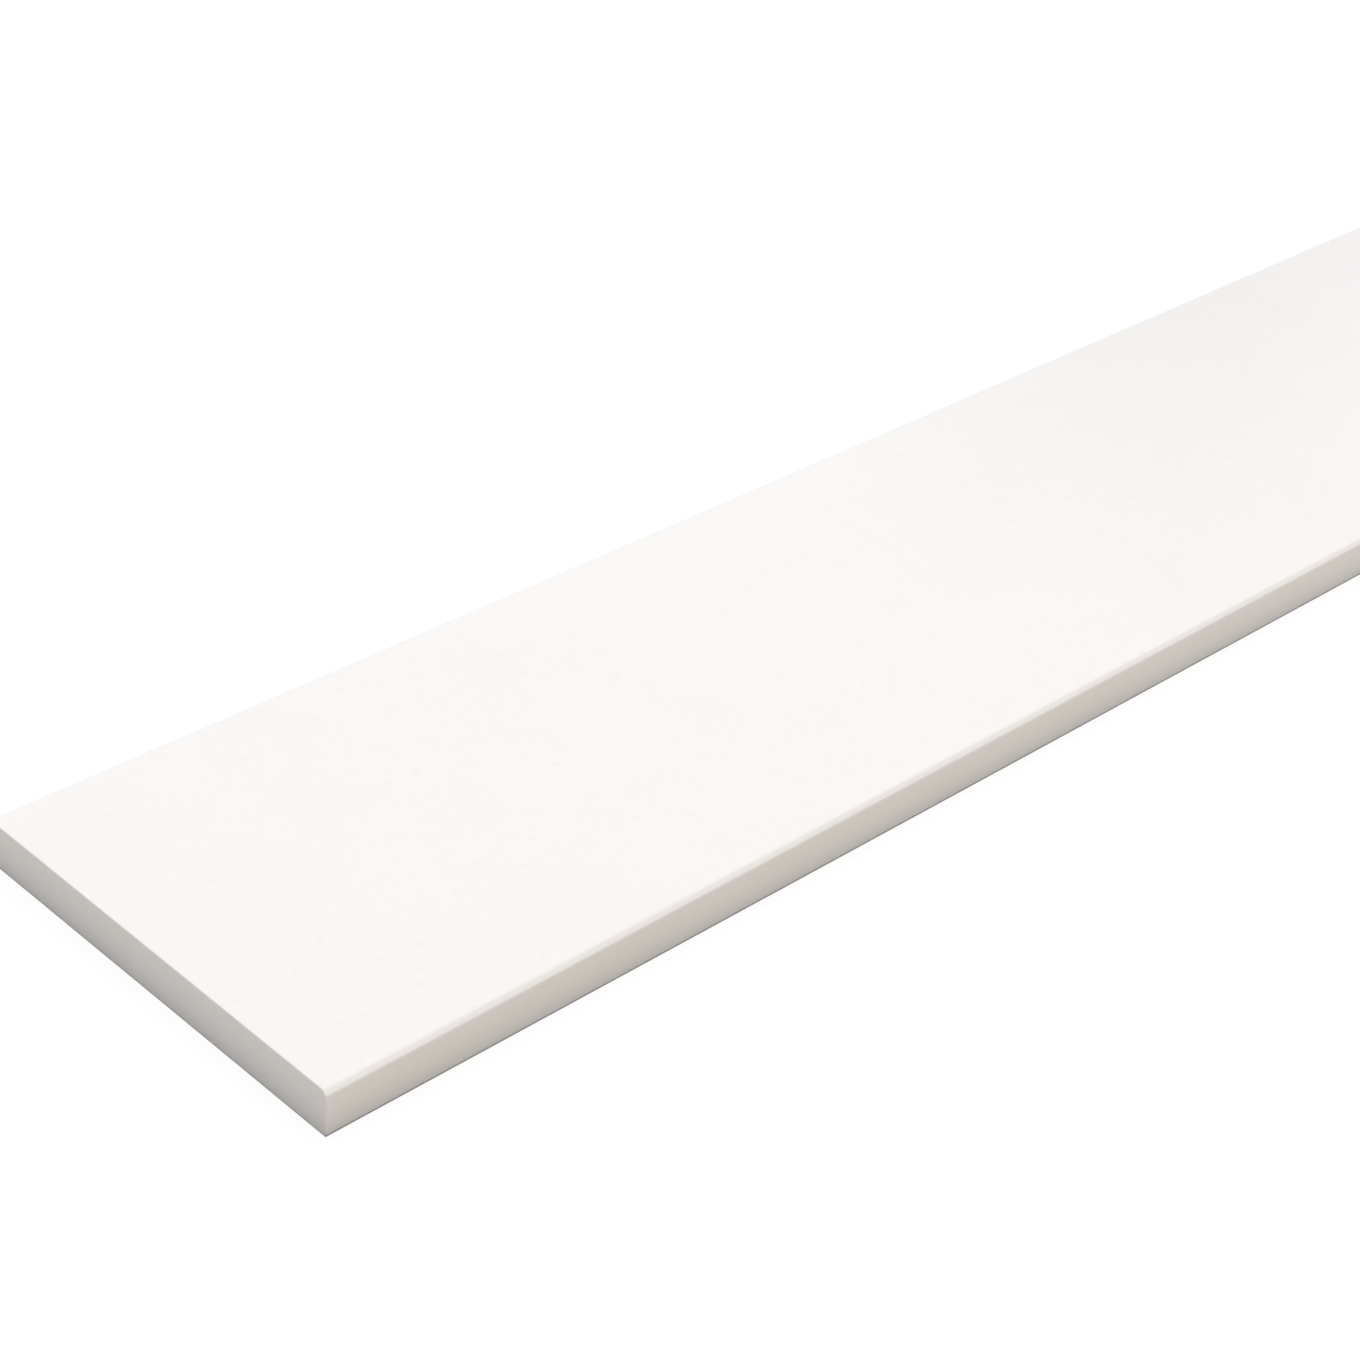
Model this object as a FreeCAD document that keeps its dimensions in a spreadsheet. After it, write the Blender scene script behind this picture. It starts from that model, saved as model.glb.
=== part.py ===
import FreeCAD, Part
import os
import Sketcher

# Interior window sill board: one strip sawn from a slab of marble composite.
# Its face and front edge are polished, its ends and back edge are left as sawn.
# All sizes are in millimetres.
# Frame: origin at the middle of the underside, +X along the board,
# +Y from the front edge that shows in the room to the back edge at the window, +Z up.

# Driving dimensions
DIMENSIONS = {
    "board_length": 1260.0,
    "board_width": 200.0,
    "board_thickness": 20.0,
    "front_bevel": 2.0,
    "bottom_arris": 0.5,
}

# Ends of a line, as the sketch's constraints count them
START = 1
END = 2
# The sketch's own horizontal axis and its origin
HORIZONTAL_AXIS = -1
ORIGIN_POINT = (-1, 1)

FAILED_STATES = {"Invalid", "Error"}
PARTS_FOLDER = "parts"

doc = FreeCAD.newDocument("window_sill_board")


# Sheet of driving dimensions
def write_sheet():
    sheet = doc.addObject("Spreadsheet::Sheet", "sizes")
    for row, (name, value) in enumerate(DIMENSIONS.items(), start=1):
        sheet.set(f"A{row}", name)
        sheet.set(f"B{row}", str(value))
        sheet.setAlias(f"B{row}", name)
    doc.recompute()
    return sheet


# The plane of a body's own origin that has the given role
def origin_plane(body, role):
    for feature in body.Origin.OriginFeatures:
        if feature.Role == role:
            return feature
    raise ValueError(f"{body.Label} has no {role}")


# Adds one constraint and binds its size to a formula of the sheet's values
def bind(sketch, name, constraint, formula):
    index = sketch.addConstraint(constraint)
    sketch.renameConstraint(index, name)
    sketch.setExpression(f"Constraints.{name}", formula)


# Cross-section of the board, drawn across its width.
# Going round from the underside: the back edge, the face, the 45-degree bevel along
# the front's upper arris, the front edge, and the eased arris below it.
def draw_section(body):
    half_width = DIMENSIONS["board_width"] / 2
    thickness = DIMENSIONS["board_thickness"]
    bevel = DIMENSIONS["front_bevel"]
    arris = DIMENSIONS["bottom_arris"]
    corners = [
        FreeCAD.Vector(arris - half_width, 0, 0),
        FreeCAD.Vector(half_width, 0, 0),
        FreeCAD.Vector(half_width, thickness, 0),
        FreeCAD.Vector(bevel - half_width, thickness, 0),
        FreeCAD.Vector(-half_width, thickness - bevel, 0),
        FreeCAD.Vector(-half_width, arris, 0),
    ]

    sketch = body.newObject("Sketcher::SketchObject", "section")
    sketch.AttachmentSupport = [(origin_plane(body, "YZ_Plane"), "")]
    sketch.MapMode = "FlatFace"
    sides = []
    for first, second in zip(corners, corners[1:] + corners[:1]):
        sides.append(sketch.addGeometry(Part.LineSegment(first, second)))
    for side, following in zip(sides, sides[1:] + sides[:1]):
        sketch.addConstraint(Sketcher.Constraint("Coincident", side, END, following, START))

    underside, back_edge, face, bevel_side, front_edge, arris_side = sides
    sketch.addConstraint(Sketcher.Constraint("PointOnObject", underside, START, HORIZONTAL_AXIS))
    sketch.addConstraint(Sketcher.Constraint("Horizontal", underside))
    sketch.addConstraint(Sketcher.Constraint("Vertical", back_edge))
    sketch.addConstraint(Sketcher.Constraint("Horizontal", face))
    sketch.addConstraint(Sketcher.Constraint("Vertical", front_edge))

    def across(first, first_end, second, second_end, size):
        return Sketcher.Constraint("DistanceX", first, first_end, second, second_end, size)

    def upwards(first, first_end, second, second_end, size):
        return Sketcher.Constraint("DistanceY", first, first_end, second, second_end, size)

    bind(
        sketch,
        "middle_to_back",
        across(*ORIGIN_POINT, back_edge, START, half_width),
        "sizes.board_width / 2",
    )
    bind(
        sketch,
        "front_to_middle",
        across(front_edge, START, *ORIGIN_POINT, half_width),
        "sizes.board_width / 2",
    )
    bind(
        sketch,
        "thickness",
        upwards(back_edge, START, back_edge, END, thickness),
        "sizes.board_thickness",
    )
    bind(
        sketch,
        "bevel_across",
        across(bevel_side, END, bevel_side, START, bevel),
        "sizes.front_bevel",
    )
    bind(
        sketch,
        "bevel_down",
        upwards(bevel_side, END, bevel_side, START, bevel),
        "sizes.front_bevel",
    )
    bind(
        sketch,
        "arris_across",
        across(arris_side, START, arris_side, END, arris),
        "sizes.bottom_arris",
    )
    bind(
        sketch,
        "arris_up",
        upwards(arris_side, END, arris_side, START, arris),
        "sizes.bottom_arris",
    )
    doc.recompute()
    return sketch


# The board: its section run along the length, half to each side of the middle,
# which leaves both ends square
def build_board():
    body = doc.addObject("PartDesign::Body", "sill_board")
    body.Label = "sill_board"
    run = body.newObject("PartDesign::Pad", "board_run")
    run.Profile = draw_section(body)
    run.SideType = "Symmetric"
    run.setExpression("Length", "sizes.board_length")
    body.Tip = run
    body.Placement = FreeCAD.Placement()
    return body


# Stops at any object that failed and at any shape that is empty or broken
def check_model(bodies):
    for item in doc.Objects:
        if FAILED_STATES & set(item.State):
            raise RuntimeError(f"{item.Label} failed: {item.State}")
    for body in bodies:
        if body.Shape.isNull() or not body.Shape.isValid():
            raise RuntimeError(f"{body.Label} has no valid shape")


write_sheet()
boards = [build_board()]
doc.recompute()
check_model(boards)

os.makedirs(PARTS_FOLDER, exist_ok=True)
for board in boards:
    board.Shape.exportStep(os.path.join(PARTS_FOLDER, f"{board.Label}.step"))
    box = board.Shape.BoundBox
    print(f"{board.Label}: {box.XLength:.3f} x {box.YLength:.3f} x {box.ZLength:.3f} mm")
    print(f"volume {board.Shape.Volume:.1f} cubic mm")
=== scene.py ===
import math

import bpy
from mathutils import Matrix, Vector


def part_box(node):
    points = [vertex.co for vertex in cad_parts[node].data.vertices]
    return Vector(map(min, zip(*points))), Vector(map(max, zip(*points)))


# Window sill board of white composite marble, lying face up on a pale studio floor.
# Lengths are in metres, angles in degrees, colours in linear light.

MM = 0.001
NODE = "sill_board"
WHITE = (1.0, 1.0, 1.0)

# Camera: where it stands, how it is turned and its lens, from the photograph's edges
CAMERA_PLACE = (-1.1653, -0.7477, 0.7500)
CAMERA_TURN = 46.903
CAMERA_DOWN = 33.417
CAMERA_ROLL = -5.098
CAMERA_LENS_MM = 85.510
SENSOR_MM = 36.0

# Studio light: an even dome, brighter overhead, with a warm glow in front and a faint cool
# one at the left
DOME_LOW = (0.265, 0.265, 0.265)
DOME_RISE = (0.78, 0.78, 0.78)
FRONT_GLOW = (0.255, 0.19, 0.105)
FRONT_SIDE = (0.0, -1.0, 0.0)
LEFT_GLOW = (0.02, 0.04, 0.06)
LEFT_SIDE = (-1.0, 0.0, 0.0)

# Softbox high up behind the board, so that the front edge and the left end are in shade
SOFTBOX_PLACE = (1.95, 2.1, 4.95)
SOFTBOX_AIM = (0.0, 0.0, 0.0)
SOFTBOX_WIDTH = 3.6
SOFTBOX_DEPTH = 2.4
SOFTBOX_WATTS = 92.0
SOFTBOX_COLOUR = (0.885, 0.93, 1.0)

# Dark card far behind the board. It shows only as a soft mirror image on the polished face
CARD_PLACE = (6.11, 4.30, 3.06)
CARD_AIM = (0.1, 0.0, 0.0)
CARD_WIDTH = 2.96
CARD_HEIGHT = 3.6
CARD_GREY = (0.1, 0.1, 0.1)

# Floor: a sheet of pale paper. It sends warm light up onto the board's edges, less of it where
# the board lies close through painted shade in the colour it bounces, and it has a painted
# contact shadow in the narrow line where they touch
FLOOR_REACH = 60.0
FLOOR_DROP = 0.02 * MM
FLOOR_BOUNCE = (0.55, 0.505, 0.465)
# Painted shade: the floor's bounce colour right at the board, and how far from the board the
# painted shade reaches
PAINTED_SHADE_BOUNCE = (0.02, 0.02, 0.02)
PAINTED_SHADE_REACH = 22 * MM
FLOOR_SHADOW_SHARE = 0.16
FLOOR_OWN_WHITE = 0.87
# Painted contact shadow: how wide the dark line along the board is, and the share of the floor's
# light left at its darkest
PAINTED_CONTACT_SHADOW = 0.15 * MM
PAINTED_CONTACT_SHADOW_SHARE = 0.25

# Eased edges: how far each is worn or polished back from its corner
BEVEL_TOP_EASE = 0.9 * MM
BEVEL_FOOT_EASE = 0.55 * MM
UPPER_EDGE_EASE = 0.5 * MM
UPRIGHT_EASE = 0.35 * MM
LOWER_EDGE_EASE = 0.35 * MM
EASE_STEPS = 4

# How those edges are told apart: by the angle they turn through and by the height of their
# middle, which for an upright one lies between these two shares of the board's height
ANY_CORNER = 30.0
BEVEL_CORNER = 60.0
UPRIGHT_MIDDLE = (0.25, 0.75)
SAME_HEIGHT = 0.1 * MM
WELD_REACH = 0.001 * MM
FLAT_WITHIN = 1.0

# Stone: grains and chips of white marble in white resin, each shade as a share of its light
STONE = (0.925, 0.907, 0.891)
GRAIN = 1.1 * MM
GRAIN_SHARE = 0.008
CHIP = 3.0 * MM
CHIP_ABOVE = 0.90
CHIP_SHARE = 0.018
CLOUD = 45 * MM
CLOUD_DETAIL = 3.0
CLOUD_SHARE = 0.016
STONE_IOR = 1.5

# Share of a surface's normal that points up, or to one side, from which it starts to have
# that side's finish and at which it has all of it
FACES_UP = (0.35, 0.5)
FACES_SIDE = (0.6, 0.75)

# Finish of the polished face, of the front edge, and of what is sawn
FACE_ROUGHNESS = 0.10
FRONT_ROUGHNESS = 0.17
SAWN_ROUGHNESS = 0.58
ROUGHNESS_SPREAD = 0.03
FINISH_PATCH = 12 * MM
PIT = 0.5 * MM
PIT_DEPTH = 0.0015 * MM
POLISH_LINE = (60 * MM, 60 * MM, 0.5 * MM)
POLISH_LINE_DEPTH = 0.002 * MM
FINE_DETAIL = 2.0

# Marks that the disc saw left on the ends and the back edge
SAW_RADIUS = 175 * MM
SAW_BELOW = 3 * MM
SAW_MARK = 1.6 * MM
SAW_MARK_DEPTH = 0.015 * MM
SAW_MARK_SHARE = 0.02
SAWN_GRIT = 0.35 * MM
SAWN_GRIT_DEPTH = 0.012 * MM
SAWN_SHARE = 0.985


class Tree:
    """Short calls that add nodes to a node tree and link them."""

    def __init__(self, tree):
        self.tree = tree
        self.tree.nodes.clear()

    def add(self, kind, settings=None, **inputs):
        node = self.tree.nodes.new(kind)
        for name, value in (settings or {}).items():
            setattr(node, name, value)
        for name, value in inputs.items():
            self.put(node.inputs[name.replace("_", " ")], value)
        return node

    def put(self, socket, value):
        if isinstance(value, bpy.types.NodeSocket):
            self.tree.links.new(value, socket)
        elif isinstance(value, tuple) and socket.type == "RGBA":
            socket.default_value = (*value, 1.0)
        else:
            socket.default_value = value

    def math(self, operation, *values):
        node = self.tree.nodes.new("ShaderNodeMath")
        node.operation = operation
        for socket, value in zip(node.inputs, values):
            self.put(socket, value)
        return node.outputs[0]

    def vector(self, operation, *values):
        node = self.tree.nodes.new("ShaderNodeVectorMath")
        node.operation = operation
        for socket, value in zip(node.inputs, values):
            self.put(socket, value)
        number = operation in ("DOT_PRODUCT", "LENGTH")
        return node.outputs["Value" if number else "Vector"]

    def scaled(self, colour, by):
        node = self.tree.nodes.new("ShaderNodeVectorMath")
        node.operation = "SCALE"
        self.put(node.inputs[0], colour)
        self.put(node.inputs["Scale"], by)
        return node.outputs["Vector"]

    def ramp(self, value, low, high, to_low=0.0, to_high=1.0):
        node = self.tree.nodes.new("ShaderNodeMapRange")
        node.interpolation_type = "SMOOTHSTEP"
        for socket, number in zip(node.inputs, (value, low, high, to_low, to_high)):
            self.put(socket, number)
        return node.outputs["Result"]

    def between(self, share, first, second):
        return self.math("MULTIPLY_ADD", share, self.math("SUBTRACT", second, first), first)

    def swing(self, pattern, reach, middle):
        """A pattern of 0 to 1, taken to middle - reach to middle + reach."""
        centred = self.math("SUBTRACT", pattern, 0.5)
        return self.math("MULTIPLY_ADD", centred, 2 * reach, middle)

    def noise(self, place, size, detail=FINE_DETAIL):
        node = self.add("ShaderNodeTexNoise", Vector=place, Scale=1 / size, Detail=detail)
        return node.outputs["Fac"]

    def cells(self, place, size):
        """One random number of 0 to 1 for each of many small cells."""
        colours = self.add("ShaderNodeTexVoronoi", Vector=place, Scale=1 / size).outputs["Color"]
        return self.add("ShaderNodeSeparateColor", Color=colours).outputs["Red"]

    def mix(self, share, first, second):
        node = self.tree.nodes.new("ShaderNodeMixShader")
        for socket, value in zip(node.inputs, (share, first, second)):
            self.put(socket, value)
        return node.outputs[0]


def shader_tree(owner):
    owner.use_nodes = True
    return Tree(owner.node_tree)


# 1 for rays from the camera and for those that mirror or pass on what it sees
def shown_to_eye(t):
    path = t.add("ShaderNodeLightPath").outputs
    seen = t.math("MAXIMUM", path["Is Camera Ray"], path["Is Glossy Ray"])
    return t.math("MAXIMUM", seen, path["Is Transmission Ray"])


def place_in_scene(name, data):
    thing = bpy.data.objects.new(name, data)
    bpy.context.scene.collection.objects.link(thing)
    return thing


def turn_towards(thing, place, aim):
    thing.location = place
    thing.rotation_euler = (Vector(aim) - Vector(place)).to_track_quat("-Z", "Y").to_euler()


def rectangle(name, width, depth):
    mesh = bpy.data.meshes.new(name)
    x = width / 2
    y = depth / 2
    mesh.from_pydata([(-x, -y, 0), (x, -y, 0), (x, y, 0), (-x, y, 0)], [], [(0, 1, 2, 3)])
    return place_in_scene(name, mesh)


# Camera
def make_camera():
    turn = math.radians(CAMERA_TURN)
    down = math.radians(CAMERA_DOWN)
    roll = math.radians(CAMERA_ROLL)
    ahead = Vector(
        (math.sin(turn) * math.cos(down), math.cos(turn) * math.cos(down), -math.sin(down))
    )
    level_right = Vector((math.cos(turn), -math.sin(turn), 0.0))
    level_up = level_right.cross(ahead)
    right = level_right * math.cos(roll) - level_up * math.sin(roll)
    up = level_right * math.sin(roll) + level_up * math.cos(roll)
    data = bpy.data.cameras.new("camera")
    data.sensor_width = SENSOR_MM
    data.lens = CAMERA_LENS_MM
    camera = place_in_scene("camera", data)
    pose = Matrix((right, up, -ahead)).transposed().to_4x4()
    pose.translation = CAMERA_PLACE
    camera.matrix_world = pose
    bpy.context.scene.camera = camera


# Dome of light
def make_dome():
    world = bpy.data.worlds.new("studio")
    bpy.context.scene.world = world
    t = shader_tree(world)
    way = t.add("ShaderNodeTexCoord").outputs["Generated"]
    height = t.add("ShaderNodeSeparateXYZ", Vector=way).outputs["Z"]
    light = t.vector("ADD", t.scaled(DOME_RISE, t.math("MAXIMUM", height, 0.0)), DOME_LOW)
    for side, glow in ((FRONT_SIDE, FRONT_GLOW), (LEFT_SIDE, LEFT_GLOW)):
        towards = t.math("MAXIMUM", t.vector("DOT_PRODUCT", way, side), 0.0)
        light = t.vector("ADD", light, t.scaled(glow, towards))
    lit = t.add("ShaderNodeBackground", Color=light)
    white = t.add("ShaderNodeBackground", Color=WHITE)
    shader = t.mix(shown_to_eye(t), lit.outputs[0], white.outputs[0])
    t.add("ShaderNodeOutputWorld", Surface=shader)


# Softbox
def make_softbox():
    data = bpy.data.lights.new("softbox", "AREA")
    data.shape = "RECTANGLE"
    data.size = SOFTBOX_WIDTH
    data.size_y = SOFTBOX_DEPTH
    data.energy = SOFTBOX_WATTS
    data.color = SOFTBOX_COLOUR
    softbox = place_in_scene("softbox", data)
    turn_towards(softbox, SOFTBOX_PLACE, SOFTBOX_AIM)
    softbox.visible_camera = False
    softbox.visible_glossy = False


# Card: dark in its middle, fading to nothing at its edges
def make_card():
    material = bpy.data.materials.new("dark_card")
    t = shader_tree(material)
    place = t.add("ShaderNodeTexCoord").outputs["Object"]
    half = (CARD_WIDTH / 2, CARD_HEIGHT / 2, 1.0)
    share = t.vector("DIVIDE", t.vector("ABSOLUTE", place), half)
    out = t.add("ShaderNodeSeparateXYZ", Vector=share).outputs
    across = t.ramp(out["X"], 0.0, 1.0, 1.0, 0.0)
    upward = t.ramp(out["Y"], 0.0, 1.0, 1.0, 0.0)
    dark = t.add("ShaderNodeEmission", Color=CARD_GREY)
    clear = t.add("ShaderNodeBsdfTransparent")
    shader = t.mix(t.math("MULTIPLY", across, upward), clear.outputs[0], dark.outputs[0])
    t.add("ShaderNodeOutputMaterial", Surface=shader)

    card = rectangle("dark_card", CARD_WIDTH, CARD_HEIGHT)
    turn_towards(card, CARD_PLACE, CARD_AIM)
    card.data.materials.append(material)
    card.visible_camera = False
    card.visible_diffuse = False
    card.visible_transmission = False
    card.visible_shadow = False


# Distance on the floor from the edge of the board's underside
def from_board(t, low, high):
    place = t.add("ShaderNodeTexCoord").outputs["Object"]
    middle = (low + high) / 2
    half = (high - low) / 2
    off = t.vector("ABSOLUTE", t.vector("SUBTRACT", place, (middle.x, middle.y, 0.0)))
    past = t.vector("MAXIMUM", t.vector("SUBTRACT", off, (half.x, half.y, 0.0)), (0.0, 0.0, 0.0))
    flat = t.vector("MULTIPLY", past, (1.0, 1.0, 0.0))
    return t.vector("LENGTH", flat)


# Floor
def make_floor(low, high):
    material = bpy.data.materials.new("paper")
    t = shader_tree(material)
    distance = from_board(t, low, high)

    # What the board's edges get from it: its bounce colour with painted shade, darkest close to
    # the board
    outside_painted_shade = t.ramp(distance, 0.0, PAINTED_SHADE_REACH)
    spread = t.vector("SUBTRACT", FLOOR_BOUNCE, PAINTED_SHADE_BOUNCE)
    bounce_colour_with_painted_shade = t.vector("ADD", t.scaled(spread, outside_painted_shade), PAINTED_SHADE_BOUNCE)
    bounce = t.add("ShaderNodeBsdfDiffuse", Color=bounce_colour_with_painted_shade)

    # What the camera sees of it: mostly a white of its own, and the shadow in the rest, both
    # dimmed by a painted contact shadow in a narrow line along the board
    painted_contact_shadow = t.ramp(distance, 0.0, PAINTED_CONTACT_SHADOW, PAINTED_CONTACT_SHADOW_SHARE, 1.0)
    shadow_white = t.scaled(WHITE, t.math("MULTIPLY", painted_contact_shadow, FLOOR_SHADOW_SHARE))
    shaded = t.add("ShaderNodeBsdfDiffuse", Color=shadow_white)
    own_light = t.math("MULTIPLY", painted_contact_shadow, FLOOR_OWN_WHITE)
    own = t.add("ShaderNodeEmission", Color=WHITE, Strength=own_light)
    shown = t.add("ShaderNodeAddShader")
    t.put(shown.inputs[0], shaded.outputs[0])
    t.put(shown.inputs[1], own.outputs[0])
    shader = t.mix(shown_to_eye(t), bounce.outputs[0], shown.outputs[0])
    t.add("ShaderNodeOutputMaterial", Surface=shader)

    floor = rectangle("floor", FLOOR_REACH, FLOOR_REACH)
    floor.location.z = -FLOOR_DROP
    floor.data.materials.append(material)


# Arc that a tooth of the disc saw leaves: how far along the cut it lies at this height
def along_saw_marks(t, along, height):
    depth = t.math("ADD", height, SAW_BELOW)
    chord = t.math("MULTIPLY", depth, t.math("SUBTRACT", 2 * SAW_RADIUS, depth))
    return t.math("SUBTRACT", along, t.math("SQRT", t.math("MAXIMUM", chord, 0.0)))


# Stone
def composite_marble():
    material = bpy.data.materials.new("composite_marble")
    t = shader_tree(material)
    coordinates = t.add("ShaderNodeTexCoord").outputs
    place = coordinates["Object"]
    at = t.add("ShaderNodeSeparateXYZ", Vector=place).outputs
    facing = t.add("ShaderNodeSeparateXYZ", Vector=coordinates["Normal"]).outputs

    # Which finish a surface has, by the way it faces
    up = t.ramp(facing["Z"], *FACES_UP)
    front = t.ramp(t.math("MULTIPLY", facing["Y"], -1.0), *FACES_SIDE)
    back = t.ramp(facing["Y"], *FACES_SIDE)
    polished = t.math("MAXIMUM", up, front)
    cut = t.math("SUBTRACT", 1.0, polished)

    # Marks and grit on what is sawn
    along = t.between(back, at["Y"], at["X"])
    marks = t.add(
        "ShaderNodeTexNoise",
        {"noise_dimensions": "1D"},
        W=along_saw_marks(t, along, at["Z"]),
        Scale=1 / SAW_MARK,
        Detail=FINE_DETAIL,
    ).outputs["Fac"]
    grit = t.noise(place, SAWN_GRIT)

    # Colour
    grain = t.cells(place, GRAIN)
    chip = t.ramp(t.cells(place, CHIP), CHIP_ABOVE, 1.0)
    cloud = t.noise(place, CLOUD, CLOUD_DETAIL)
    light = t.swing(grain, GRAIN_SHARE, 1.0)
    light = t.swing(cloud, CLOUD_SHARE, light)
    light = t.math("MULTIPLY_ADD", chip, -CHIP_SHARE, light)
    sawn = t.swing(marks, SAW_MARK_SHARE, SAWN_SHARE)
    light = t.math("MULTIPLY", light, t.between(cut, 1.0, sawn))
    colour = t.scaled(STONE, light)

    # Gloss
    patch = t.swing(t.noise(place, FINISH_PATCH), ROUGHNESS_SPREAD, 0.0)
    gloss = t.between(front, FACE_ROUGHNESS, FRONT_ROUGHNESS)
    roughness = t.math("ADD", t.between(cut, gloss, SAWN_ROUGHNESS), patch)

    # Relief, as heights in metres
    pits = t.math("MULTIPLY", t.noise(place, PIT), PIT_DEPTH)
    streaks = t.noise(t.vector("DIVIDE", place, POLISH_LINE), 1.0)
    lines = t.math("MULTIPLY", t.math("MULTIPLY", streaks, POLISH_LINE_DEPTH), front)
    fine = t.math("ADD", pits, lines)
    rough = t.math("MULTIPLY", marks, SAW_MARK_DEPTH)
    rough = t.math("MULTIPLY_ADD", grit, SAWN_GRIT_DEPTH, rough)
    relief = t.add("ShaderNodeBump", Height=t.between(cut, fine, rough), Distance=1.0)

    shader = t.add(
        "ShaderNodeBsdfPrincipled",
        Base_Color=colour,
        Roughness=roughness,
        IOR=STONE_IOR,
        Normal=relief.outputs["Normal"],
    )
    t.add("ShaderNodeOutputMaterial", Surface=shader.outputs[0])
    return material


# Gives each edge of the board its ease, as a share of that of the bevel's upper edge
def edge_shares(top):
    group = bpy.data.node_groups.new("edge_shares", "GeometryNodeTree")
    group.interface.new_socket("Geometry", in_out="INPUT", socket_type="NodeSocketGeometry")
    group.interface.new_socket("Geometry", in_out="OUTPUT", socket_type="NodeSocketGeometry")
    t = Tree(group)
    start = t.add("NodeGroupInput").outputs[0]
    end = t.add("NodeGroupOutput")
    angle = t.add("GeometryNodeInputMeshEdgeAngle").outputs["Unsigned Angle"]
    position = t.add("GeometryNodeInputPosition").outputs["Position"]
    height = t.add("ShaderNodeSeparateXYZ", Vector=position).outputs["Z"]
    corner = t.math("GREATER_THAN", angle, math.radians(ANY_CORNER))
    blunt = t.math("LESS_THAN", angle, math.radians(BEVEL_CORNER))
    lower = t.math("LESS_THAN", height, top * UPRIGHT_MIDDLE[0])
    upper = t.math("GREATER_THAN", height, top * UPRIGHT_MIDDLE[1])
    highest = t.math("GREATER_THAN", height, top - SAME_HEIGHT)
    at_bevel = t.math("MULTIPLY", blunt, upper)
    bevel_share = t.between(highest, BEVEL_FOOT_EASE / BEVEL_TOP_EASE, 1.0)
    share = t.between(lower, UPRIGHT_EASE / BEVEL_TOP_EASE, LOWER_EDGE_EASE / BEVEL_TOP_EASE)
    share = t.between(upper, share, UPPER_EDGE_EASE / BEVEL_TOP_EASE)
    share = t.between(at_bevel, share, bevel_share)
    stored = t.add(
        "GeometryNodeStoreNamedAttribute",
        {"data_type": "FLOAT", "domain": "EDGE"},
        Geometry=start,
        Name="bevel_weight_edge",
        Value=t.math("MULTIPLY", corner, share),
    )
    smooth = t.add("GeometryNodeSetShadeSmooth", Geometry=stored.outputs[0])
    t.put(end.inputs[0], smooth.outputs[0])
    return group


# Board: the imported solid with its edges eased
def dress_board(board, top):
    weld = board.modifiers.new("weld", "WELD")
    weld.merge_threshold = WELD_REACH
    whole_faces = board.modifiers.new("whole_faces", "DECIMATE")
    whole_faces.decimate_type = "DISSOLVE"
    whole_faces.angle_limit = math.radians(FLAT_WITHIN)
    shares = board.modifiers.new("edge_shares", "NODES")
    shares.node_group = edge_shares(top)
    ease = board.modifiers.new("eased_edges", "BEVEL")
    ease.width = BEVEL_TOP_EASE
    ease.segments = EASE_STEPS
    ease.limit_method = "WEIGHT"
    even = board.modifiers.new("even_normals", "WEIGHTED_NORMAL")
    even.keep_sharp = False
    board.data.materials.clear()
    board.data.materials.append(composite_marble())


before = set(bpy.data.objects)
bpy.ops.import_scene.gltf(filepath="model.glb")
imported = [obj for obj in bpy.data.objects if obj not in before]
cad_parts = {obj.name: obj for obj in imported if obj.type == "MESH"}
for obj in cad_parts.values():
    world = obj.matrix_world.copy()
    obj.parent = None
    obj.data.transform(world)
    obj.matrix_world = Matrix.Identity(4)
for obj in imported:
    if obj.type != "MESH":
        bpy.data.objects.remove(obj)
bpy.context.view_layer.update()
low_corner, high_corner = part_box(NODE)

make_camera()
make_dome()
make_softbox()
make_card()
make_floor(low_corner, high_corner)
dress_board(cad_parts[NODE], high_corner.z)
bpy.context.scene.view_settings.view_transform = "Standard"
